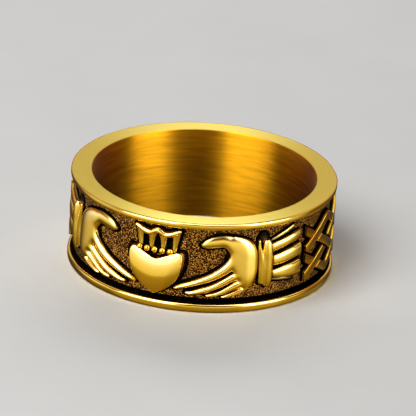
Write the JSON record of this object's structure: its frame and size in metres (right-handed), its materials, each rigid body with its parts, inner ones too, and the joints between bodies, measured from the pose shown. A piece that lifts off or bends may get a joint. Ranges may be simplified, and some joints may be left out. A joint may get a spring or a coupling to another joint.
{
  "type": "claddagh ring",
  "caption": "Broad finger ring with raised hands, crowned heart, pleated sleeves and a plaited back on a dark sunk field between polished rims.",
  "frame": {"origin": "centre of the finger hole at the lower rim's flat face, on which the ring rests", "axes": "+Z along the finger hole from the resting rim to the other rim, -Y towards the heart, with its crown pointing along +Z"},
  "size_m": [0.0224, 0.0227, 0.008],
  "materials": {
    "gold": "polished gold plate with black patina in the hollows"
  },
  "bodies": {
    "root": {"ring": "gold"}
  },
  "joints": []
}
